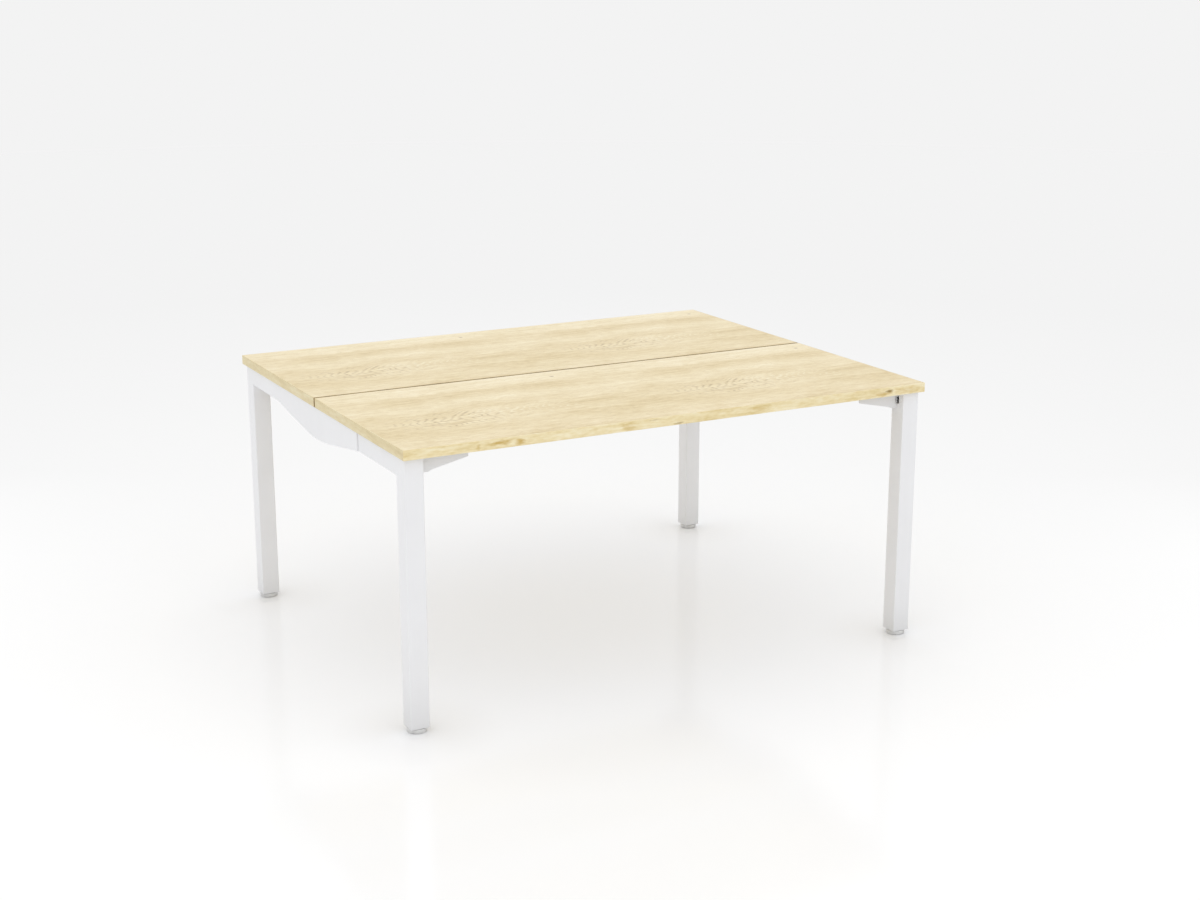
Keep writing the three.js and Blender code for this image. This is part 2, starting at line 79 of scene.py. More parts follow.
def addNode(tree, kind, inputs=None, stops=None, **settings):
    # inputs takes a link or a plain value for each socket, by name or number
    node = tree.nodes.new(kind)
    for key, value in settings.items():
        setattr(node, key, value)
    for place, (position, colour) in enumerate(stops or []):
        marks = node.color_ramp.elements
        mark = marks[place] if place < 2 else marks.new(position)
        mark.position, mark.color = position, colour
    for socket, value in (inputs or {}).items():
        if isinstance(value, bpy.types.NodeSocket):
            tree.links.new(value, node.inputs[socket])
        else:
            node.inputs[socket].default_value = value
    return node.outputs


def startMaterial(name):
    material = bpy.data.materials.new(name)
    material.use_nodes = True
    material.node_tree.nodes.clear()
    return material, material.node_tree


def finishMaterial(tree, shader):
    addNode(tree, "ShaderNodeOutputMaterial", {"Surface": shader})


oakDecorLook = {
    "tones": ("#d0b87f", "#e6d2a4", "#f6e7c2", "#fff4d6"),  # of the print, dark to light
    "toneAt": (0.14, 0.44, 0.76, 1),
    "repeat": 0.795,        # round the printing roller
    "start": 0.75,          # where the roller starts, from the middle of the board
    "wander": 0.030,        # sideways wander of the grain
    "flameRow": -0.075,     # middle line of the flame figure, from the middle of the board
    "flameWide": 0.090,     # half its width
    "flamePitch": 0.011,    # half the spacing of the flame's lines
    "flameBend": 14,        # how fast the flame's lines sweep back
    "knot": (0.655, 0.24),  # a tiny knot, along the roller and from the middle of the board
    "knotEdge": 8 * mm, "knotHeart": 3 * mm, "knotTint": "#8a6c3a", "knotStrength": 0.5,
    "poreTint": "#ab8c4e", "poreStrength": 0.35,
    "emboss": 0.1 * mm,     # depth of the pressed pores
}
# broad bands across the board, pale at the rear and dark just in front of that: place, lightness
decorBands = [(0, 0.34), (0.1, 0.50), (0.2, 0.38), (0.32, 0.34), (0.47, 0.38), (0.56, 0.52), (0.64, 0.78),
              (0.69, 0.50), (0.72, 0.32), (0.79, 0.34), (0.84, 0.64), (0.93, 0.82), (1, 0.86)]
# strokes of the flame: colour, strength, from and to along the roller, and where they start and are full,
# in a line and in a patch
flameStrokes = [("#a5854a", 0.55, 0.03, 0.42, (0.45, 0.90), (0.42, 0.60)),
                ("#fbf0d2", 0.70, 0.18, 0.64, (0.50, 0.10), (0.56, 0.42))]


def oakDecor(name, centre):
    # Melamine-faced board, printed with pale oak and pressed with a fine pore texture:
    # soft light and dark bands along the board, a flame figure with thin strokes, satin all over.
    look = oakDecorLook
    material, tree = startMaterial(name)
    here = addNode(tree, "ShaderNodeTexCoord")["Object"]
    at = addNode(tree, "ShaderNodeMapping", {
        "Vector": here, "Location": (look["start"], -centre.y, -centre.z)})[0]
    along, across = addNode(tree, "ShaderNodeSeparateXYZ", {0: at})[:2]
    lap = addNode(tree, "ShaderNodeMath", {0: along, 1: look["repeat"]}, operation="MODULO")[0]

    # the print comes off a roller, so the pattern is read round its rim and closes on itself
    rim = look["repeat"] / (2 * math.pi)
    turned = addNode(tree, "ShaderNodeMath", {0: along, 1: 1 / rim}, operation="MULTIPLY")[0]
    rimX = addNode(tree, "ShaderNodeMath", {0: turned}, operation="COSINE")[0]
    rimY = addNode(tree, "ShaderNodeMath", {0: turned}, operation="SINE")[0]
    rolled = addNode(tree, "ShaderNodeCombineXYZ", {"X": rimX, "Y": rimY, "Z": across})[0]
    onRoller = addNode(tree, "ShaderNodeMapping", {"Vector": rolled, "Scale": (rim, rim, 1)})[0]

    def grainNoise(source, perAlong, perAcross, detail, roughness=0.5):
        perMetre = (perAlong, perAlong, perAcross)
        stretched = addNode(tree, "ShaderNodeMapping", {"Vector": source, "Scale": perMetre})[0]
        return addNode(tree, "ShaderNodeTexNoise", {
            "Vector": stretched, "Scale": 1, "Detail": detail, "Roughness": roughness})[0]

    # the grain wanders sideways by a few centimetres over about a metre
    drift = grainNoise(onRoller, 2.5, 5, 2)
    centred = addNode(tree, "ShaderNodeMath", {0: drift, 1: 0.5}, operation="SUBTRACT")[0]
    shift = addNode(tree, "ShaderNodeMath", {0: centred, 1: look["wander"]}, operation="MULTIPLY")[0]
    sideways = addNode(tree, "ShaderNodeCombineXYZ", {"Z": shift})[0]
    grain = addNode(tree, "ShaderNodeVectorMath", {0: onRoller, 1: sideways}, operation="ADD")[0]
    row = addNode(tree, "ShaderNodeMath", {0: across, 1: shift}, operation="ADD")[0]

    # the bands span the board's 600 mm
    bandAt = addNode(tree, "ShaderNodeMapRange", {0: row, 1: -0.3, 2: 0.3})[0]
    bands = addNode(tree, "ShaderNodeValToRGB", {0: bandAt},
                    stops=[(place, (tone, tone, tone, 1)) for place, tone in decorBands])[0]

    # bundles 15 mm wide and 200 mm long, fibres 8 by 30 mm, clouds 60 by 250 mm, coarse enough to show
    bundles = grainNoise(grain, 5, 65, 5, 0.65)
    fibres = grainNoise(grain, 34, 120, 4, 0.65)
    clouds = grainNoise(grain, 5, 16, 3)
    tone = addNode(tree, "ShaderNodeMath", {0: bands, 1: 0.56, 2: -0.71}, operation="MULTIPLY_ADD")[0]
    for source, weight in ((bundles, 0.60), (fibres, 0.76), (clouds, 0.72)):
        tone = addNode(tree, "ShaderNodeMath", {0: source, 1: weight, 2: tone}, operation="MULTIPLY_ADD")[0]
    colour = addNode(tree, "ShaderNodeValToRGB", {0: tone}, stops=[
        (place, linear(shade)) for place, shade in zip(look["toneAt"], look["tones"])])[0]

    # flame: nested curves that sweep back from a middle line, broken into dark strokes and light ones
    off = addNode(tree, "ShaderNodeMath", {0: row, 1: look["flameRow"]}, operation="SUBTRACT")[0]
    square = addNode(tree, "ShaderNodeMath", {0: off, 1: off}, operation="MULTIPLY")[0]
    swept = addNode(tree, "ShaderNodeMath", {0: square, 1: -look["flameBend"], 2: lap},
                    operation="MULTIPLY_ADD")[0]
    waver = grainNoise(grain, 8, 30, 2)
    ringAt = addNode(tree, "ShaderNodeMath", {0: waver, 1: 0.10, 2: swept}, operation="MULTIPLY_ADD")[0]
    rings = addNode(tree, "ShaderNodeMath", {0: ringAt, 1: look["flamePitch"]}, operation="PINGPONG")[0]
    ringShare = addNode(tree, "ShaderNodeMath", {0: rings, 1: look["flamePitch"]}, operation="DIVIDE")[0]
    scattered = grainNoise(grain, 18, 70, 3)
    for tint, strength, strokesFrom, strokesTo, lineSpan, patchSpan in flameStrokes:
        halfLong = (strokesTo - strokesFrom) / 2
        flameAt = addNode(tree, "ShaderNodeCombineXYZ", {"X": lap, "Y": off})[0]
        flameShare = addNode(tree, "ShaderNodeMapping", {
            "Vector": flameAt, "Scale": (1 / halfLong, 1 / look["flameWide"], 1),
            "Location": (-(strokesFrom + halfLong) / halfLong, 0, 0)})[0]
        reach = addNode(tree, "ShaderNodeVectorMath", {0: flameShare}, operation="LENGTH")["Value"]
        inFlame = addNode(tree, "ShaderNodeMapRange", {0: reach, 1: 1, 2: 0.55})[0]
        lines = addNode(tree, "ShaderNodeMapRange", {
            0: ringShare, 1: lineSpan[0], 2: lineSpan[1], 4: strength})[0]
        patchy = addNode(tree, "ShaderNodeMapRange", {0: scattered, 1: patchSpan[0], 2: patchSpan[1]})[0]
        figure = addNode(tree, "ShaderNodeMath", {0: lines, 1: inFlame}, operation="MULTIPLY")[0]
        broken = addNode(tree, "ShaderNodeMath", {0: figure, 1: patchy}, operation="MULTIPLY")[0]
        colour = addNode(tree, "ShaderNodeMix", {0: broken, 6: colour, 7: linear(tint)}, data_type="RGBA")[2]
    knotAt = addNode(tree, "ShaderNodeCombineXYZ", {"X": lap, "Y": across})[0]
    fromKnot = addNode(tree, "ShaderNodeVectorMath", {0: knotAt, 1: (*look["knot"], 0)},
                       operation="DISTANCE")["Value"]
    knot = addNode(tree, "ShaderNodeMapRange", {
        0: fromKnot, 1: look["knotEdge"], 2: look["knotHeart"], 4: look["knotStrength"]})[0]
    colour = addNode(tree, "ShaderNodeMix", {0: knot, 6: colour, 7: linear(look["knotTint"])},
                     data_type="RGBA")[2]

    # pores: dashes about 14 mm long, a millimetre wide in the print
    dashes = grainNoise(grain, 75, 620, 1)
    pores = addNode(tree, "ShaderNodeMapRange", {0: dashes, 1: 0.60, 2: 0.74})[0]
    marks = addNode(tree, "ShaderNodeMath", {0: pores, 1: look["poreStrength"]}, operation="MULTIPLY")[0]
    printed = addNode(tree, "ShaderNodeMix", {0: marks, 6: colour, 7: linear(look["poreTint"])},
                      data_type="RGBA")[2]

    satin = addNode(tree, "ShaderNodeMapRange", {0: fibres, 3: 0.40, 4: 0.50})[0]
    bump = addNode(tree, "ShaderNodeBump", {
        "Height": pores, "Strength": 0.25, "Distance": look["emboss"]}, invert=True)[0]
    finishMaterial(tree, addNode(tree, "ShaderNodeBsdfPrincipled", {
        "Base Color": printed, "Roughness": satin, "IOR": 1.5, "Normal": bump})[0])
    return material


oakEdgingLook = {
    "long": ("#e6d095", "#f5e4b5", "#fdf1cc"), "end": ("#dbc896", "#e7d6a8", "#eee1ba"),  # dark to light
    "inner": ("#8d7144", "#a58a58", "#b59b69"),  # darker strip on the edges that meet: painted shade of the gap
    "gold": "#cba74a", "knot": "#8a6a12",
    "toneAt": (0.55, 0.80, 1), "emboss": 0.1 * mm,
}
# patches and knots of the printed strip: along, height, half length, half height, colour, strength
edgingMarks = [(-0.502, 0.705, 0.045, 0.008, "gold", 0.8), (-0.450, 0.701, 0.018, 0.012, "gold", 0.8),
               (-0.560, 0.702, 0.008, 0.012, "gold", 0.5), (-0.155, 0.701, 0.024, 0.014, "gold", 0.45),
               (-0.084, 0.711, 0.022, 0.003, "knot", 0.35), (-0.012, 0.695, 0.018, 0.004, "knot", 0.7),
               (0.225, 0.704, 0.045, 0.014, "gold", 0.35), (0.690, 0.703, 0.060, 0.014, "gold", 0.4),
               (0.615, 0.700, 0.040, 0.008, "gold", 0.75), (0.634, 0.7055, 0.020, 0.006, "knot", 0.9)]


def oakEdging(name, turn, tones, marks):
    # ABS edging, printed with the same oak and lacquered: the board's tone with faint flecks along it,
    # some golden patches and a few small knots.
    look = oakEdgingLook
    material, tree = startMaterial(name)
    here = addNode(tree, "ShaderNodeTexCoord")["Object"]
    at = addNode(tree, "ShaderNodeMapping", {"Vector": here, "Rotation": (0, 0, turn)})[0]
    streaky = addNode(tree, "ShaderNodeMapping", {"Vector": at, "Scale": (9, 9, 80)})[0]  # 110 by 12 mm
    streaks = addNode(tree, "ShaderNodeTexNoise", {
        "Vector": streaky, "Scale": 1, "Detail": 4, "Roughness": 0.6})[0]
    flecked = addNode(tree, "ShaderNodeMapping", {"Vector": at, "Scale": (50, 50, 170)})[0]  # 20 by 6 mm
    flecks = addNode(tree, "ShaderNodeTexNoise", {"Vector": flecked, "Scale": 1, "Detail": 3})[0]
    tone = addNode(tree, "ShaderNodeMath", {0: flecks, 1: 0.6, 2: streaks}, operation="MULTIPLY_ADD")[0]
    colour = addNode(tree, "ShaderNodeValToRGB", {0: tone}, stops=[
        (place, linear(shade)) for place, shade in zip(look["toneAt"], tones)])[0]
    for along, height, halfLong, halfHigh, tint, strength in marks:
        nearer = addNode(tree, "ShaderNodeMapping", {
            "Vector": at, "Scale": (1 / halfLong, 0, 1 / halfHigh),
            "Location": (-along / halfLong, 0, -height / halfHigh)})[0]
        far = addNode(tree, "ShaderNodeVectorMath", {0: nearer}, operation="LENGTH")["Value"]
        ragged = addNode(tree, "ShaderNodeMath", {0: flecks, 1: 1.2, 2: far}, operation="MULTIPLY_ADD")[0]
        mark = addNode(tree, "ShaderNodeMapRange", {0: ragged, 1: 1.5, 2: 0.7, 4: strength})[0]
        colour = addNode(tree, "ShaderNodeMix", {0: mark, 6: colour, 7: linear(look[tint])},
                         data_type="RGBA")[2]
    satin = addNode(tree, "ShaderNodeMapRange", {0: streaks, 3: 0.36, 4: 0.48})[0]
    bump = addNode(tree, "ShaderNodeBump", {
        "Height": flecks, "Strength": 0.15, "Distance": look["emboss"]})[0]
    finishMaterial(tree, addNode(tree, "ShaderNodeBsdfPrincipled", {
        "Base Color": colour, "Roughness": satin, "IOR": 1.5, "Normal": bump})[0])
    return material


# the bracket tones are the same coat painted greyer: painted shade for the worktop's shade on them
powderLook = {"frame": ("#f4f4f5", "#f6f6f7"), "bracket": ("#ececed", "#eeeeef"),
              "peel": 1.6 * mm, "relief": 0.1 * mm}


def powderCoat(name, tones):
    # Steel with a baked white powder coat: an even satin white with a faint orange peel of about 1.6 mm;
    # the brackets' copy is a little greyer, as painted shade for the shade under the worktop
    look = powderLook
    material, tree = startMaterial(name)
    here = addNode(tree, "ShaderNodeTexCoord")["Object"]
    broad = addNode(tree, "ShaderNodeTexNoise", {"Vector": here, "Scale": 9, "Detail": 3})[0]
    white = addNode(tree, "ShaderNodeValToRGB", {0: broad}, stops=[
        (0.35, linear(tones[0])), (0.65, linear(tones[1]))])[0]
    peel = addNode(tree, "ShaderNodeTexNoise", {"Vector": here, "Scale": 1 / look["peel"], "Detail": 2})[0]
    gloss = addNode(tree, "ShaderNodeMapRange", {0: peel, 3: 0.34, 4: 0.46})[0]
    bump = addNode(tree, "ShaderNodeBump", {
        "Height": peel, "Strength": 0.12, "Distance": look["relief"]})[0]
    finishMaterial(tree, addNode(tree, "ShaderNodeBsdfPrincipled", {
        "Base Color": white, "Roughness": gloss, "IOR": 1.5, "Normal": bump})[0])
    return material


nylonLook = {"light": "#eeeeed", "dark": "#e6e6e4", "grain": 0.9 * mm, "relief": 0.1 * mm}


def greyNylon(name):
    # Moulded nylon: light grey, half matt, with a spark-eroded grain just under a millimetre
    look = nylonLook
    material, tree = startMaterial(name)
    here = addNode(tree, "ShaderNodeTexCoord")["Object"]
    flow = addNode(tree, "ShaderNodeTexNoise", {"Vector": here, "Scale": 60, "Detail": 3})[0]
    grey = addNode(tree, "ShaderNodeValToRGB", {0: flow}, stops=[
        (0.3, linear(look["dark"])), (0.7, linear(look["light"]))])[0]
    grain = addNode(tree, "ShaderNodeTexNoise", {"Vector": here, "Scale": 1 / look["grain"], "Detail": 1})[0]
    matt = addNode(tree, "ShaderNodeMapRange", {0: grain, 3: 0.48, 4: 0.62})[0]
    bump = addNode(tree, "ShaderNodeBump", {
        "Height": grain, "Strength": 0.2, "Distance": look["relief"]})[0]
    finishMaterial(tree, addNode(tree, "ShaderNodeBsdfPrincipled", {
        "Base Color": grey, "Roughness": matt, "IOR": 1.53, "Normal": bump})[0])
    return material


zincLook = {"clear": ("#c3c9d0", "#cfcbbd"), "black": ("#35373b", "#413f3b"),
            "crystal": 2.2 * mm, "relief": 0.1 * mm}


def zincSteel(name, tints):
    # Steel, zinc plated and passivated, clear or black: faintly blue and straw, clouded by its crystals
    look = zincLook
    material, tree = startMaterial(name)
    here = addNode(tree, "ShaderNodeTexCoord")["Object"]
    haze = addNode(tree, "ShaderNodeTexNoise", {"Vector": here, "Scale": 1 / look["crystal"], "Detail": 3})[0]
    tint = addNode(tree, "ShaderNodeValToRGB", {0: haze}, stops=[
        (0.35, linear(tints[0])), (0.7, linear(tints[1]))])[0]
    cloud = addNode(tree, "ShaderNodeMapRange", {0: haze, 3: 0.24, 4: 0.42})[0]
    bump = addNode(tree, "ShaderNodeBump", {
        "Height": haze, "Strength": 0.05, "Distance": look["relief"]})[0]
    finishMaterial(tree, addNode(tree, "ShaderNodeBsdfPrincipled", {
        "Base Color": tint, "Metallic": 1, "Roughness": cloud, "Normal": bump})[0])
    return material


paint = powderCoat("whitePowderCoat", powderLook["frame"])
# the brackets' copy of the coat carries painted shade
bracketPaintedShadeCoat = powderCoat("whitePowderCoatPaintedShade", powderLook["bracket"])
nylon = greyNylon("greyMouldedNylon")
zinc = zincSteel("clearZincPlatedSteel", zincLook["clear"])
# the bolts' black zinc is their finish, and also painted shade: it darkens the slot beside each bracket
blackZinc = zincSteel("blackZincPlatedSteel", zincLook["black"])
longEdging = oakEdging("oakAbsEdgingLong", 0, oakEdgingLook["long"], edgingMarks)
# the inner strips carry painted shade for the gap between the worktops
innerEdgingPaintedShade = oakEdging("oakAbsEdgingInnerPaintedShade", 0, oakEdgingLook["inner"], [])
endEdging = oakEdging("oakAbsEdgingEnd", -math.pi / 2, oakEdgingLook["end"], [])
print("materials made:", len(bpy.data.materials))


# shared steps of the mesh work

def addBox(bm, one, other):
    # between two opposite corners, in any order
    low, high = Vector(map(min, one, other)), Vector(map(max, one, other))
    verts = bmesh.ops.create_cube(bm, size=1)["verts"]
    bmesh.ops.scale(bm, vec=high - low, verts=verts)
    bmesh.ops.translate(bm, vec=(high + low) / 2, verts=verts)
    return verts


def edgesAlong(verts, axis):
    edges = {edge for vert in verts for edge in vert.link_edges}
    return [e for e in edges if abs((e.verts[0].co - e.verts[1].co).normalized().dot(axis)) > 0.99]


def roundOff(bm, geom, radius, segments, affect="EDGES"):
    bmesh.ops.bevel(bm, geom=geom, offset=radius, offset_type="OFFSET", affect=affect,
                    segments=segments, profile=0.5, material=-1, clamp_overlap=True)


def sharpEdges(bm, degrees):
    return [e for e in bm.edges if len(e.link_faces) == 2 and e.calc_face_angle() > math.radians(degrees)]


def hollowEnd(bm, direction, wall, depth):
    bm.normal_update()
    facing = [f for f in bm.faces if f.normal.dot(direction) > 0.99]
    end = max(facing, key=lambda f: f.calc_center_median().dot(direction))
    bmesh.ops.inset_region(bm, faces=[end], thickness=wall, use_even_offset=True, use_boundary=True)
    inner = bmesh.ops.extrude_discrete_faces(bm, faces=[end])["faces"][0]
    bmesh.ops.translate(bm, vec=-direction * depth, verts=inner.verts)


def turnProfile(bm, profile, steps):
    # turns a line of (radius, height) about Z and closes it
    points = [bm.verts.new((radius, 0, height)) for radius, height in profile]
    line = [bm.edges.new(pair) for pair in zip(points, points[1:])]
    bmesh.ops.spin(bm, geom=points + line, axis=zAxis, angle=2 * math.pi, steps=steps, use_merge=True)
    bmesh.ops.remove_doubles(bm, verts=bm.verts, dist=1e-7)
    bmesh.ops.recalc_face_normals(bm, faces=bm.faces)


sharpAngle = math.radians(38)  # edges past it are shaded sharp


def addHexagon(bm, across, fromZ, depth, turn=0):
    radius = across / 2 / math.cos(math.pi / 6)
    place = Matrix.Translation((0, 0, fromZ + depth / 2)) @ Matrix.Rotation(turn, 4, "Z")
    return bmesh.ops.create_cone(bm, cap_ends=True, segments=6, radius1=radius, radius2=radius,
                                 depth=depth, matrix=place)["verts"]


def finishPiece(name, bm, material, nodes=(), body="frame"):
    mesh = bpy.data.meshes.new(name)
    bm.to_mesh(mesh)
    bm.free()
    mesh.shade_smooth()
    mesh.set_sharp_from_angle(angle=sharpAngle)
    mesh.materials.append(material)
    piece = bpy.data.objects.new(name, mesh)
    scene.collection.objects.link(piece)
    if nodes:
        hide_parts(*nodes)
    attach(piece, body)
    return piece


def keepFlat(piece):
    # large faces stay flat beside their rounded edges
    flat = piece.modifiers.new("flatFaces", "WEIGHTED_NORMAL")
    flat.keep_sharp = True


wallCut, deepCut = 12 * mm, 20 * mm  # lengths of a tool through one wall, and through a plate or round a boss
clear = 1 * mm  # how far a tool reaches past a face


def combine(piece, operation, bars, blocks=(), corner=0):
    # cuts away or joins a round bar for each (middle, axis, diameter, length) and a block for each pair of
    # corners, rounded along X where a corner radius is given
    bm = bmesh.new()
    for middle, axis, diameter, length in bars:
        place = Matrix.Translation(middle) @ axis.to_track_quat("Z", "Y").to_matrix().to_4x4()
        bmesh.ops.create_cone(bm, cap_ends=True, segments=32, radius1=diameter / 2, radius2=diameter / 2,
                              depth=length, matrix=place)
    for one, other in blocks:
        verts = addBox(bm, one, other)
        if corner:
            roundOff(bm, edgesAlong(verts, xAxis), corner, 8)
    toolMesh = bpy.data.meshes.new("tool")
    bm.to_mesh(toolMesh)
    bm.free()
    tool = bpy.data.objects.new("tool", toolMesh)
    scene.collection.objects.link(tool)
    cut = piece.modifiers.new("cut", "BOOLEAN")
    cut.operation, cut.solver, cut.object = operation, "EXACT", tool
    shape = bpy.data.meshes.new_from_object(piece.evaluated_get(bpy.context.evaluated_depsgraph_get()))
    piece.modifiers.clear()
    oldMesh = piece.data
    piece.data = shape
    bpy.data.meshes.remove(oldMesh)
    shape.name = piece.name
    bpy.data.objects.remove(tool)
    bpy.data.meshes.remove(toolMesh)
    shape.set_sharp_from_angle(angle=sharpAngle)


def nodeMiddle(node):
    low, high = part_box(node)
    return (low + high) / 2


# worktops: a board with a strip of edging on each side

worktopForm = {"boardEdge": 0.2 * mm, "stripRound": 0.6 * mm, "stripEnd": 0.3 * mm}


def makeStrip(name, node, outward, material):
    low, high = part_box(node)
    bm = bmesh.new()
    verts = addBox(bm, low, high)
    along = xAxis if abs(outward.y) else yAxis
    outer = [e for e in edgesAlong(verts, along)
             if (e.verts[0].co - (low + high) / 2).dot(outward) > 0]
    roundOff(bm, outer, worktopForm["stripRound"], 4)
    tips = [e for e in sharpEdges(bm, 60) if abs((e.verts[0].co - e.verts[1].co).dot(along)) < 1e-6]
    roundOff(bm, tips, worktopForm["stripEnd"], 2)
    keepFlat(finishPiece(name, bm, material, [node]))


for row, rowSide in rows.items():
    low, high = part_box(f"{row}_worktop")
    bm = bmesh.new()
    addBox(bm, low, high)
    roundOff(bm, bm.edges[:], worktopForm["boardEdge"], 2)
    decor = oakDecor(f"oakMelamine{row.title()}", (low + high) / 2)
    keepFlat(finishPiece(f"{row}Board", bm, decor, [f"{row}_worktop"]))
    makeStrip(f"{row}OuterEdging", f"{row}_worktop_outer_edging", yAxis * rowSide, longEdging)
    makeStrip(f"{row}InnerEdging", f"{row}_worktop_inner_edging", yAxis * -rowSide, innerEdgingPaintedShade)
    for end, endSide in ends.items():
        makeStrip(f"{row}{end.title()}Edging", f"{row}_worktop_{end}_edging", xAxis * endSide, endEdging)
print("worktops made")


# legs and arms: square and oblong tube, welded together

tubeForm = {"corner": 3 * mm, "wall": 2 * mm, "cap": 3 * mm, "rim": 0.35 * mm, "recess": 16 * mm,
            "passage": 9 * mm, "skirt": 2 * mm}  # a leg reaches past its plug by the skirt
legSlot = {"top": 13 * mm, "bottom": 35 * mm, "ahead": 6.5 * mm, "behind": 3 * mm,
           "corner": 4.5 * mm}  # an oblong hole beside the bracket
weldForm = {"bead": 2.4 * mm, "ripple": 0.25 * mm, "step": 2.2 * mm, "short": 2 * mm,
            "tip": 0.7, "tipRun": 0.1, "cornerCut": 200 * mm}  # the tip's radius and run are shares


def addBead(bm, start, end):
    # a weld bead with its ripples, half sunk into the corner between two tubes
    form = weldForm
    start, run = Vector(start), Vector(end) - Vector(start)
    count = round(run.length / form["step"])
    tip, tipRun = form["tip"] * form["bead"], form["tipRun"] * form["step"]
    profile = [(0, 0), (tip, tipRun)]
    for place in range(count):
        for share, radius in ((0.25, form["bead"]), (0.75, form["bead"] - form["ripple"])):
            profile.append((radius, (place + share) * run.length / count))
    profile += [(tip, run.length - tipRun), (0, run.length)]
    older = set(bm.verts)
    turnProfile(bm, profile, 12)
    turn = run.to_track_quat("Z", "Y").to_matrix().to_4x4()
    added = [v for v in bm.verts if v not in older]
    bmesh.ops.transform(bm, matrix=Matrix.Translation(start) @ turn, verts=added)


for corner, name, rowSide, endSide in corners:
    low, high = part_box(f"{corner}_leg")
    low.z -= tubeForm["skirt"]
    bm = bmesh.new()
    verts = addBox(bm, low, high)
    roundOff(bm, edgesAlong(verts, zAxis), tubeForm["corner"], 5)
    hollowEnd(bm, -zAxis, tubeForm["wall"], high.z - low.z - tubeForm["cap"])
    rims = [e for e in sharpEdges(bm, 60) if max(v.co.z for v in e.verts) < low.z + 1e-5
            or min(v.co.z for v in e.verts) > high.z - 1e-5]
    roundOff(bm, rims, tubeForm["rim"], 2)
    leg = finishPiece(f"{name}Leg", bm, paint, [f"{corner}_leg"])
    legInnerX = low.x if endSide > 0 else high.x
    hole = nodeMiddle(f"{corner}_bracket_bolt")
    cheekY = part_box(f"{corner}_bracket")[rowSide > 0].y
    slot = ((legInnerX - wallCut / 2, cheekY + rowSide * legSlot["ahead"], high.z - legSlot["top"]),
            (legInnerX + wallCut / 2, cheekY - rowSide * legSlot["behind"], high.z - legSlot["bottom"]))
    passage = (Vector((legInnerX, hole.y, hole.z)), xAxis, tubeForm["passage"], wallCut)
    combine(leg, "DIFFERENCE", [passage], [slot], legSlot["corner"])
    keepFlat(leg)
    legInnerY = low.y if rowSide > 0 else high.y

    low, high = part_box(f"{corner}_arm")
    bm = bmesh.new()
    verts = addBox(bm, low, high)
    roundOff(bm, edgesAlong(verts, yAxis), tubeForm["corner"], 5)
    hollowEnd(bm, yAxis * -rowSide, tubeForm["wall"], high.y - low.y - tubeForm["wall"])
    arm = finishPiece(f"{name}Arm", bm, paint, [f"{corner}_arm"])
    outerX, innerX = (high.x, low.x) if endSide > 0 else (low.x, high.x)
    holes = []
    for bolt in ("inner", "outer"):  # the bridge plate's bosses are let into the outer wall
        hole = nodeMiddle(f"{corner}_bridge_bolt_{bolt}")
        holes.append((Vector((outerX, hole.y, hole.z)), xAxis, tubeForm["recess"], deepCut))
        holes.append((Vector((innerX, hole.y, hole.z)), xAxis, tubeForm["passage"], wallCut))
        hole = nodeMiddle(f"{corner}_beam_bolt_{bolt}")
        holes.append((Vector((innerX, hole.y, hole.z)), xAxis, tubeForm["passage"], wallCut))
    combine(arm, "DIFFERENCE", holes)
    keepFlat(arm)

    # the weld of arm to leg: ground flush outside, a bead inside and below
    armEndY = high.y if rowSide > 0 else low.y
    radius, weldTop = tubeForm["corner"], high.z - weldForm["short"]
    bm = bmesh.new()
    addBox(bm, (outerX, armEndY, low.z + radius),
           (outerX - endSide * radius, legInnerY + rowSide * radius, weldTop))
    flush = finishPiece(f"{name}FlushWeld", bm, paint)
    cornerAt = Vector((outerX - endSide * radius, legInnerY + rowSide * radius, high.z))
    combine(flush, "DIFFERENCE", [(cornerAt, zAxis, 2 * radius, weldForm["cornerCut"])])
    bm = bmesh.new()
    addBead(bm, (innerX, armEndY, low.z + radius), (innerX, armEndY, weldTop))
    addBead(bm, (innerX + endSide * radius, armEndY, low.z), (outerX - endSide * radius, armEndY, low.z))
    finishPiece(f"{name}ArmWeld", bm, paint)
print("legs and arms made")


# bridge plates: straight on top, hanging lowest in the middle

bridgeForm = {"drop": 35 * mm, "knees": 90 * mm, "kneeArc": 41 * mm, "endFlat": 8 * mm, "endArc": 5 * mm,
              "thickness": 3 * mm, "edge": 0.5 * mm, "boss": 15 * mm, "bossLength": 12 * mm,
              "thread": 8.6 * mm, "threadDepth": 11 * mm}

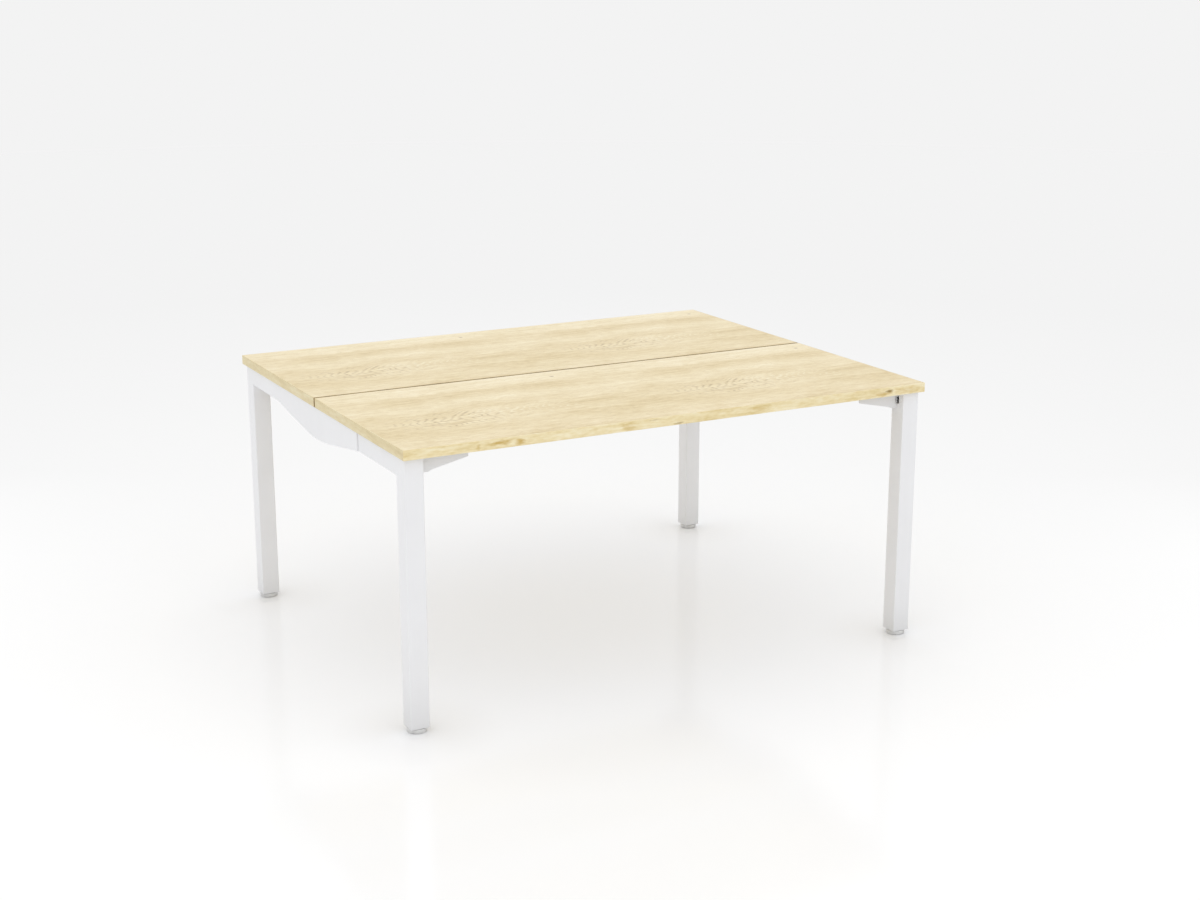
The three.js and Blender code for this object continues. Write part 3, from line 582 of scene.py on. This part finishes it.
for end, endSide in ends.items():
    form = bridgeForm
    low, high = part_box(f"{end}_bridge_plate")
    endZ = low.z + form["drop"]
    knee = form["knees"] / 2
    outerX = high.x if endSide > 0 else low.x
    outline = [(low.y, endZ), (low.y + form["endFlat"], endZ), (-knee, low.z), (knee, low.z),
               (high.y - form["endFlat"], endZ), (high.y, endZ), (high.y, high.z), (low.y, high.z)]
    bm = bmesh.new()
    points = [bm.verts.new((outerX, y, z)) for y, z in outline]
    bm.faces.new(points)
    roundOff(bm, [points[1], points[4]], form["endArc"], 8, "VERTICES")
    roundOff(bm, [points[2], points[3]], form["kneeArc"], 24, "VERTICES")
    grown = bmesh.ops.extrude_face_region(bm, geom=bm.faces[:])["geom"]
    inside = [v for v in grown if isinstance(v, bmesh.types.BMVert)]
    bmesh.ops.translate(bm, vec=xAxis * -endSide * form["thickness"], verts=inside)
    bmesh.ops.recalc_face_normals(bm, faces=bm.faces)
    roundOff(bm, sharpEdges(bm, 40), form["edge"], 3)
    plate = finishPiece(f"{end}BridgePlate", bm, paint, [f"{end}_bridge_plate"])
    bosses, threads = [], []
    for row in rows:
        for bolt in ("inner", "outer"):
            middle = nodeMiddle(f"{row}_{end}_bridge_bolt_{bolt}")
            tipX = outerX - endSide * (form["thickness"] + form["bossLength"])
            bossBar, threadBar = form["bossLength"] + clear, form["threadDepth"] + clear
            bossAt = Vector((tipX + endSide * bossBar / 2, middle.y, middle.z))
            threadAt = Vector((tipX + endSide * (threadBar / 2 - clear), middle.y, middle.z))
            bosses.append((bossAt, xAxis, form["boss"], bossBar))
            threads.append((threadAt, xAxis, form["thread"], threadBar))
    combine(plate, "UNION", bosses)
    combine(plate, "DIFFERENCE", threads)
    keepFlat(plate)
print("bridge plates made")


# beams: tube with welded end plates, drilled from below for the worktop screws

beamForm = {"tube": 30 * mm, "plate": 5 * mm, "plateCorner": 6 * mm, "access": 12 * mm,
            "screwInset": 110 * mm, "screws": 4}


def beamScrewPlaces(row):
    low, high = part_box(f"{row}_beam")
    last = high.x - beamForm["plate"] - beamForm["screwInset"]
    step = 2 * last / (beamForm["screws"] - 1)
    return [(step * place - last, (low.y + high.y) / 2) for place in range(beamForm["screws"])]


for row in rows:
    low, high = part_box(f"{row}_beam")
    middleY = (low.y + high.y) / 2
    form = beamForm
    bm = bmesh.new()
    tubeLow = Vector((low.x + form["plate"], middleY - form["tube"] / 2, low.z))
    tubeHigh = Vector((high.x - form["plate"], middleY + form["tube"] / 2, high.z))
    verts = addBox(bm, tubeLow, tubeHigh)
    roundOff(bm, edgesAlong(verts, xAxis), tubeForm["corner"], 5)
    hollowEnd(bm, xAxis, tubeForm["wall"], tubeHigh.x - tubeLow.x - tubeForm["wall"])
    for fromX in (low.x, tubeHigh.x):
        verts = addBox(bm, (fromX, low.y, low.z), (fromX + form["plate"], high.y, high.z))
        roundOff(bm, edgesAlong(verts, xAxis), form["plateCorner"], 6)
    beam = finishPiece(f"{row}Beam", bm, paint, [f"{row}_beam"])
    holes = [(Vector((x, y, low.z)), zAxis, form["access"], wallCut) for x, y in beamScrewPlaces(row)]
    weld = bmesh.new()
    for end, endSide in ends.items():
        plateX = high.x if endSide > 0 else low.x
        for bolt in ("inner", "outer"):
            middle = nodeMiddle(f"{row}_{end}_beam_bolt_{bolt}")
            holes.append((Vector((plateX, middle.y, middle.z)), xAxis, tubeForm["passage"], deepCut))
        for side in (-1, 1):
            weldAt = (plateX - endSide * form["plate"], middleY + side * form["tube"] / 2)
            addBead(weld, (*weldAt, low.z + tubeForm["corner"]), (*weldAt, high.z - weldForm["short"]))
    combine(beam, "DIFFERENCE", holes)
    keepFlat(beam)
    finishPiece(f"{row}BeamWeld", weld, paint)
print("beams made")


# corner brackets: folded channel with an end tab, a tapered outer cheek and a level inner lip

bracketForm = {"sheet": 2.5 * mm, "fold": 3.5 * mm, "heel": 22 * mm, "stepRun": 7 * mm, "stepRise": 4 * mm,
               "tipDepth": 20 * mm, "tipRound": 2 * mm, "heelRound": 2 * mm, "lip": 18 * mm,
               "slotWidth": 6.5 * mm, "slotTop": 13 * mm, "slotBottom": 35 * mm, "slotDepth": 3.5 * mm,
               "edge": 0.3 * mm, "edgeAngle": 50, "screwHole": 5.5 * mm, "screwInset": 25 * mm,
               "screwSpacing": 55 * mm}


def bracketScrewPlaces(corner, endSide):
    low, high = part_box(f"{corner}_bracket")
    tip = low.x if endSide > 0 else high.x
    inset, spacing = bracketForm["screwInset"], bracketForm["screwSpacing"]
    return [(tip + endSide * run, (low.y + high.y) / 2) for run in (inset, inset + spacing)]


for corner, name, rowSide, endSide in corners:
    form = bracketForm
    low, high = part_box(f"{corner}_bracket")
    reach, depth, width = high.x - low.x, high.z - low.z, high.y - low.y
    legX, tipX = (high.x, low.x) if endSide > 0 else (low.x, high.x)
    outerY, innerY = (high.y, low.y) if rowSide > 0 else (low.y, high.y)
    side = [(0, 0), (reach, 0), (reach, form["tipDepth"]),
            (form["heel"] + form["stepRun"], depth - form["stepRise"]), (form["heel"], depth), (0, depth)]
    bm = bmesh.new()
    cheek = [bm.verts.new((legX - endSide * run, outerY, high.z - drop)) for run, drop in side]
    bm.faces.new(cheek)
    roundOff(bm, cheek[2:3], form["tipRound"], 5, "VERTICES")
    roundOff(bm, cheek[3:5], form["heelRound"], 3, "VERTICES")
    grown = bmesh.ops.extrude_face_region(bm, geom=bm.faces[:])["geom"]
    bmesh.ops.translate(bm, vec=yAxis * -rowSide * width,
                        verts=[v for v in grown if isinstance(v, bmesh.types.BMVert)])
    bmesh.ops.recalc_face_normals(bm, faces=bm.faces)
    openSides = [f for f in bm.faces if f.normal.z < 0.5 and abs(f.normal.y) < 0.5
                 and f.normal.x * endSide < 0.5]
    bmesh.ops.delete(bm, geom=openSides, context="FACES")
    folds = [e for e in sharpEdges(bm, 60) if all(v.co.z > high.z - 1e-6 for v in e.verts)
             and abs(e.verts[0].co.y - e.verts[1].co.y) < 1e-6]
    roundOff(bm, folds, form["fold"], 5)
    bracket = finishPiece(f"{name}Bracket", bm, bracketPaintedShadeCoat, [f"{corner}_bracket"])
    wall = bracket.modifiers.new("sheet", "SOLIDIFY")
    wall.thickness, wall.offset, wall.use_even_offset = form["sheet"], -1, True
    bolt = nodeMiddle(f"{corner}_bracket_bolt")
    holes = [(Vector((x, y, high.z)), zAxis, form["screwHole"], wallCut)
             for x, y in bracketScrewPlaces(corner, endSide)]
    holes.append((Vector((legX, bolt.y, bolt.z)), xAxis, tubeForm["passage"], wallCut))
    slot = ((legX + endSide * clear, outerY + rowSide * clear, high.z - form["slotTop"]),
            (legX - endSide * form["slotWidth"], outerY - rowSide * form["slotDepth"],
             high.z - form["slotBottom"]))
    belowLip = ((tipX - endSide * clear, innerY - rowSide * clear, low.z - clear),
                (legX - endSide * form["sheet"], innerY + rowSide * (form["sheet"] + clear),
                 high.z - form["lip"]))
    combine(bracket, "DIFFERENCE", holes, [slot, belowLip])
    softened = bracket.modifiers.new("paintedEdges", "BEVEL")
    softened.width, softened.segments, softened.limit_method = form["edge"], 2, "ANGLE"
    softened.angle_limit = math.radians(form["edgeAngle"])
    keepFlat(bracket)
print("brackets made")


# hex flange bolts, heads on the inside

boltForm = {"across": 13 * mm, "head": 7.8 * mm, "hexSunk": 0.8 * mm, "chamfer": 0.5 * mm,
            "chamferRun": 1.1 * mm, "dish": 0.35 * mm, "dishRun": 1.2 * mm, "thread": 8 * mm,
            "tip": 1 * mm, "flange": 1.6 * mm, "flangeAcross": 16 * mm,
            "flangeRim": ((-1.4, -1.6), (-0.3, -0.9), (0, -0.6), (0, -0.3), (-0.3, 0))}  # mm from rim and seat
boltKinds = ("bracket_bolt", "beam_bolt_inner", "beam_bolt_outer", "bridge_bolt_inner", "bridge_bolt_outer")


def makeBolt(name, node, endSide):
    form = boltForm
    low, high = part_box(node)
    length = high.x - low.x - form["head"]  # shank from under the flange
    half, rim, tip = form["thread"] / 2, form["flangeAcross"] / 2, form["tip"]
    flange = [(rim + out * mm, up * mm) for out, up in form["flangeRim"]]
    bm = bmesh.new()
    turnProfile(bm, [(0, -form["flange"]), *flange, (half, 0), (half, length - tip), (half - tip, length),
                     (0, length)], 24)
    hexDepth = form["head"] - form["hexSunk"]
    hexVerts = addHexagon(bm, form["across"], -form["head"], hexDepth)
    bm.normal_update()
    top = min((f for v in hexVerts for f in v.link_faces), key=lambda f: f.calc_center_median().z)
    rimVerts = top.verts[:]
    bmesh.ops.inset_region(bm, faces=[top], thickness=form["chamferRun"], use_even_offset=True,
                           use_boundary=True)
    bmesh.ops.translate(bm, vec=zAxis * form["chamfer"], verts=rimVerts)
    bmesh.ops.inset_region(bm, faces=[top], thickness=form["dishRun"], depth=-form["dish"],
                           use_even_offset=True)
    seatX = (low.x if endSide > 0 else high.x) + endSide * form["head"]
    middle = (low + high) / 2
    turn = Matrix.Rotation(math.radians(90) * endSide, 4, "Y")
    bm.transform(Matrix.Translation((seatX, middle.y, middle.z)) @ turn)
    finishPiece(name, bm, blackZinc, [node])


for corner, name, rowSide, endSide in corners:
    for kind in boltKinds:
        makeBolt(name + kind.title().replace("_", ""), f"{corner}_{kind}", endSide)
print("bolts made")


# screw feet: a moulded pad, a stem with a hexagon and a thread, and the plug in the leg

padForm = {"across": 50 * mm, "top": 11.5 * mm, "edge": 2.5 * mm, "lip": 4 * mm, "hub": 10 * mm,
           "hubTop": 10.5 * mm, "neck": 4.4 * mm, "socket": 5.8 * mm, "socketFloor": 2.5 * mm,
           "socketTop": 8.3 * mm}
# the button is the stem's round end in the pad; all heights are from the floor
stemForm = {"buttonFrom": 2.8 * mm, "buttonFlat": 4 * mm, "buttonSide": 4.3 * mm, "button": 5.5 * mm,
            "buttonTop": 8 * mm, "neck": 3.8 * mm, "neckTop": 11.8 * mm, "hexAcross": 17 * mm,
            "hexFrom": 10.8 * mm, "hexTo": 14.7 * mm, "hexEdge": 0.4 * mm, "core": 4.1 * mm,
            "tip": 60 * mm, "tipTaper": 0.8 * mm}
threadForm = {"crest": 5 * mm, "crestFrom": 0.62 * mm, "crestTo": 0.88 * mm, "pitch": 1.5 * mm,
              "turns": 29, "steps": 20}

for corner, name, rowSide, endSide in corners:
    form = padForm
    middle = nodeMiddle(f"{corner}_foot_pad")
    place = Matrix.Translation((middle.x, middle.y, 0))
    rim, top = form["across"] / 2, form["top"]
    bm = bmesh.new()
    turnProfile(bm, [(0, 0), (rim, 0), (rim, top), (rim - form["lip"], top), (form["hub"], form["hubTop"]),
                     (form["neck"], form["hubTop"]), (form["neck"], form["socketTop"]),
                     (form["socket"], form["socketTop"]), (form["socket"], form["socketFloor"]),
                     (0, form["socketFloor"])], 64)
    outer = [e for e in sharpEdges(bm, 60) if all(v.co.xy.length > rim - 1e-5 for v in e.verts)]
    roundOff(bm, outer, form["edge"], 5)
    bm.transform(place)
    finishPiece(f"{name}FootPad", bm, nylon, [f"{corner}_foot_pad"], f"{corner}_pad")

    form = stemForm
    core, tip, taper, neckTop = form["core"], form["tip"], form["tipTaper"], form["neckTop"]
    bm = bmesh.new()
    turnProfile(bm, [(0, form["buttonFrom"]), (form["buttonFlat"], form["buttonFrom"]),
                     (form["button"], form["buttonSide"]), (form["button"], form["buttonTop"]),
                     (form["neck"], form["buttonTop"]), (form["neck"], neckTop), (core, neckTop),
                     (core, tip - taper), (core - taper, tip), (0, tip)], 24)
    hexVerts = addHexagon(bm, form["hexAcross"], form["hexFrom"], form["hexTo"] - form["hexFrom"],
                          math.radians(30))
    hexEdges = {e for v in hexVerts for e in v.link_edges}
    roundOff(bm, list(hexEdges), form["hexEdge"], 2)

    # the thread is one pitch of its profile, turned and lifted along the stem
    threadFrom, form = form["hexTo"] - form["hexEdge"], threadForm
    tooth = [(core, 0), (form["crest"], form["crestFrom"]), (form["crest"], form["crestTo"]),
             (core, form["pitch"])]
    points = [bm.verts.new((radius, 0, threadFrom + rise)) for radius, rise in tooth]
    line = [bm.edges.new(pair) for pair in zip(points, points[1:])]
    bmesh.ops.spin(bm, geom=points + line, axis=zAxis, angle=2 * math.pi * form["turns"],
                   dvec=zAxis * form["pitch"] / form["steps"], steps=form["steps"] * form["turns"])
    bmesh.ops.remove_doubles(bm, verts=bm.verts, dist=1e-6)
    bmesh.ops.holes_fill(bm, edges=[e for e in bm.edges if e.is_boundary], sides=0)
    bmesh.ops.recalc_face_normals(bm, faces=bm.faces)
    bm.transform(place)
    finishPiece(f"{name}FootStem", bm, zinc, [f"{corner}_foot_stem"], f"{corner}_stem")

    plug = frame["nodes"][f"{corner}_foot_plug"]
    plug.data.materials.clear()
    plug.data.materials.append(nylon)
print("feet made")


# worktop screws: pan heads with a cross recess, under the brackets and inside the beams

screwForm = {"head": 9.4 * mm, "headHeight": 2.6 * mm, "shank": 4.6 * mm, "length": 16 * mm, "point": 4 * mm,
             "crossLong": 4.8 * mm, "crossWide": 1.1 * mm, "crossDeep": 1.7 * mm,
             "dome": ((-1.6, -2.6), (-0.5, -1.9), (0, -0.9), (0, 0))}  # mm from the head's rim and seat


def makeScrews(name, places, seatZ):
    form = screwForm
    shank, length = form["shank"] / 2, form["length"]
    dome = [(form["head"] / 2 + out * mm, up * mm) for out, up in form["dome"]]
    bm = bmesh.new()
    turnProfile(bm, [(0, -form["headHeight"]), *dome, (shank, 0), (shank, length - form["point"]),
                     (0, length)], 28)
    whole = bm.verts[:] + bm.edges[:] + bm.faces[:]
    for x, y in places[1:]:
        copied = bmesh.ops.duplicate(bm, geom=whole)["geom"]
        bmesh.ops.translate(bm, vec=Vector((x - places[0][0], y - places[0][1], 0)),
                            verts=[v for v in copied if isinstance(v, bmesh.types.BMVert)])
    bmesh.ops.translate(bm, vec=Vector((*places[0], seatZ)), verts=bm.verts)
    screws = finishPiece(name, bm, zinc)
    deepZ = seatZ - form["headHeight"]
    for across, along in ((form["crossLong"], form["crossWide"]), (form["crossWide"], form["crossLong"])):
        slots = [((x - across / 2, y - along / 2, deepZ - clear),
                  (x + across / 2, y + along / 2, deepZ + form["crossDeep"])) for x, y in places]
        combine(screws, "DIFFERENCE", [], slots)


for corner, name, rowSide, endSide in corners:
    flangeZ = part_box(f"{corner}_bracket")[1].z - bracketForm["sheet"]
    makeScrews(f"{name}BracketScrews", bracketScrewPlaces(corner, endSide), flangeZ)
for row in rows:
    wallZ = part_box(f"{row}_beam")[1].z - tubeForm["wall"]
    makeScrews(f"{row}BeamScrews", beamScrewPlaces(row), wallZ)
print("worktop screws made")


# camera, floor and light

cameraFit = {"place": (-2.2974, -4.4498, 1.8158), "tilt": 75.091, "turn": -28.188, "lens": 55.57, "sensor": 36}
camera = bpy.data.objects.new("camera", bpy.data.cameras.new("camera"))
camera.location = cameraFit["place"]
camera.rotation_euler = (math.radians(cameraFit["tilt"]), 0, math.radians(cameraFit["turn"]))
camera.data.lens, camera.data.sensor_width = cameraFit["lens"], cameraFit["sensor"]
camera.data.sensor_fit = "HORIZONTAL"
scene.collection.objects.link(camera)
scene.camera = camera

studio = {"backdrop": "#f3f3f3", "world": 1.0, "lampPlace": (-2.4, -4.4, 3.0), "lampAim": (0, 0, 0.4),
          "lampSize": 2.5, "lampWatts": 8}
# distances in metres from the middle of the desk, unless a note says otherwise
floorLook = {
    "radius": 14, "fadeTo": 6,
    # the faint blue in the middle is painted: it cools the warm shade under the desk
    "tones": ((0.10, "#fbfcff"), (0.20, "#ffffff"), (0.32, "#fbfbfb"), (0.55, "#f7f7f7"),
              (0.9, studio["backdrop"])),          # as shares of the fade
    "lift": 0.32, "liftFrom": 1.3, "liftTo": 4.5,  # how much of its tone is kept in the shade
    "bounce": "#e1e2e5", "nearFoot": "#989898", "footSpan": (0.03, 0.22),  # from a foot
    "glow": 0.14, "glowFade": (4.5, 2.4), "glowBehind": (-1.5, -0.5),
    "glowCentre": -0.8, "glowSides": (1.25, 2),    # from a point behind the desk
    "polish": 0.12, "ior": 1.45,
}
footAt = nodeMiddle("rear_right_foot_pad")


def floorMaterial(name):
    # Polished white studio floor that fades into the backdrop: it keeps the shadow and a faint reflection
    look = floorLook
    material, tree = startMaterial(name)
    here = addNode(tree, "ShaderNodeTexCoord")["Object"]
    away = addNode(tree, "ShaderNodeVectorMath", {0: here}, operation="LENGTH")["Value"]
    span = addNode(tree, "ShaderNodeMapRange", {0: away, 1: 0, 2: look["fadeTo"]})[0]
    pale = addNode(tree, "ShaderNodeValToRGB", {0: span},
                   stops=[(place, linear(shade)) for place, shade in look["tones"]])[0]
    ray = addNode(tree, "ShaderNodeLightPath")
    seen = addNode(tree, "ShaderNodeMath", {0: ray["Is Camera Ray"], 1: ray["Is Glossy Ray"]},
                   operation="MAXIMUM")[0]

    # round the feet, where little light gets in, the floor is lifted less and throws less back on the desk
    folded = addNode(tree, "ShaderNodeVectorMath", {0: here}, operation="ABSOLUTE")[0]
    fromFoot = addNode(tree, "ShaderNodeVectorMath", {0: folded, 1: (*footAt.xy, 0)},
                       operation="DISTANCE")["Value"]
    openFloor = addNode(tree, "ShaderNodeMapRange", {
        0: fromFoot, 1: look["footSpan"][0], 2: look["footSpan"][1]})[0]
    evenOut = addNode(tree, "ShaderNodeMapRange", {
        0: away, 1: look["liftFrom"], 2: look["liftTo"], 3: look["lift"], 4: 1})[0]
    lift = addNode(tree, "ShaderNodeMath", {0: evenOut, 1: openFloor}, operation="MULTIPLY")[0]
    lifted = addNode(tree, "ShaderNodeMath", {0: seen, 1: lift}, operation="MULTIPLY")[0]
    bounce = addNode(tree, "ShaderNodeMix", {
        0: openFloor, 6: linear(look["nearFoot"]), 7: linear(look["bounce"])}, data_type="RGBA")[2]
    tint = addNode(tree, "ShaderNodeMix", {0: seen, 6: bounce, 7: pale}, data_type="RGBA")[2]
    lit = addNode(tree, "ShaderNodeBsdfDiffuse", {"Color": tint})[0]

    # within a few metres the floor is a little brighter on the lamp's side and out to both sides
    lampWay = Vector((*studio["lampPlace"][:2], 0)).normalized()
    nearer = addNode(tree, "ShaderNodeVectorMath", {0: here, 1: lampWay}, operation="DOT_PRODUCT")["Value"]
    notBehind = addNode(tree, "ShaderNodeMapRange", {
        0: nearer, 1: look["glowBehind"][0], 2: look["glowBehind"][1]})[0]
    fromBehind = addNode(tree, "ShaderNodeVectorMath", {0: here, 1: lampWay * look["glowCentre"]},
                         operation="DISTANCE")["Value"]
    outward = addNode(tree, "ShaderNodeMapRange", {
        0: fromBehind, 1: look["glowSides"][0], 2: look["glowSides"][1]})[0]
    bright = addNode(tree, "ShaderNodeMath", {0: notBehind, 1: outward}, operation="MULTIPLY")[0]
    fading = addNode(tree, "ShaderNodeMapRange", {
        0: away, 1: look["glowFade"][0], 2: look["glowFade"][1], 4: look["glow"]})[0]
    glow = addNode(tree, "ShaderNodeMath", {0: bright, 1: fading, 2: 1}, operation="MULTIPLY_ADD")[0]
    plain = addNode(tree, "ShaderNodeEmission", {"Color": pale, "Strength": glow})[0]

    base = addNode(tree, "ShaderNodeMixShader", {0: lifted, 1: lit, 2: plain})[0]
    polish = addNode(tree, "ShaderNodeBsdfAnisotropic", {
        "Color": (1, 1, 1, 1), "Roughness": look["polish"]})[0]
    edge = addNode(tree, "ShaderNodeFresnel", {"IOR": look["ior"]})[0]
    finishMaterial(tree, addNode(tree, "ShaderNodeMixShader", {0: edge, 1: base, 2: polish})[0])
    return material


bm = bmesh.new()
bmesh.ops.create_circle(bm, cap_ends=True, segments=96, radius=floorLook["radius"])
floorMesh = bpy.data.meshes.new("studioFloor")
bm.to_mesh(floorMesh)
bm.free()
floorMesh.materials.append(floorMaterial("studioFloorWhite"))
floor = bpy.data.objects.new("studioFloor", floorMesh)
scene.collection.objects.link(floor)
for padBody in [f"{corner[0]}_pad" for corner in corners]:  # the floor lies under the lowest foot
    under = floor.constraints.new("FLOOR")
    under.target, under.floor_location = frame["bodies"][padBody], "FLOOR_NEGATIVE_Z"

lampData = bpy.data.lights.new("softbox", "AREA")
lampData.shape, lampData.size, lampData.energy = "SQUARE", studio["lampSize"], studio["lampWatts"]
lamp = bpy.data.objects.new("softbox", lampData)
lamp.location = studio["lampPlace"]
lamp.rotation_euler = (Vector(studio["lampAim"]) - lamp.location).to_track_quat("-Z", "Y").to_euler()
scene.collection.objects.link(lamp)

world = bpy.data.worlds.new("studio")
scene.world = world
world.use_nodes = True
tree = world.node_tree
tree.nodes.clear()
ray = addNode(tree, "ShaderNodeLightPath")
seen = addNode(tree, "ShaderNodeMath", {0: ray["Is Camera Ray"], 1: ray["Is Glossy Ray"]},
               operation="MAXIMUM")[0]
seen = addNode(tree, "ShaderNodeMath", {0: seen, 1: ray["Is Transmission Ray"]}, operation="MAXIMUM")[0]
light = addNode(tree, "ShaderNodeBackground", {"Color": (1, 1, 1, 1), "Strength": studio["world"]})[0]
backdrop = addNode(tree, "ShaderNodeBackground", {"Color": linear(studio["backdrop"]), "Strength": 1})[0]
addNode(tree, "ShaderNodeOutputWorld", {
    "Surface": addNode(tree, "ShaderNodeMixShader", {0: seen, 1: light, 2: backdrop})[0]})
print("stage set")
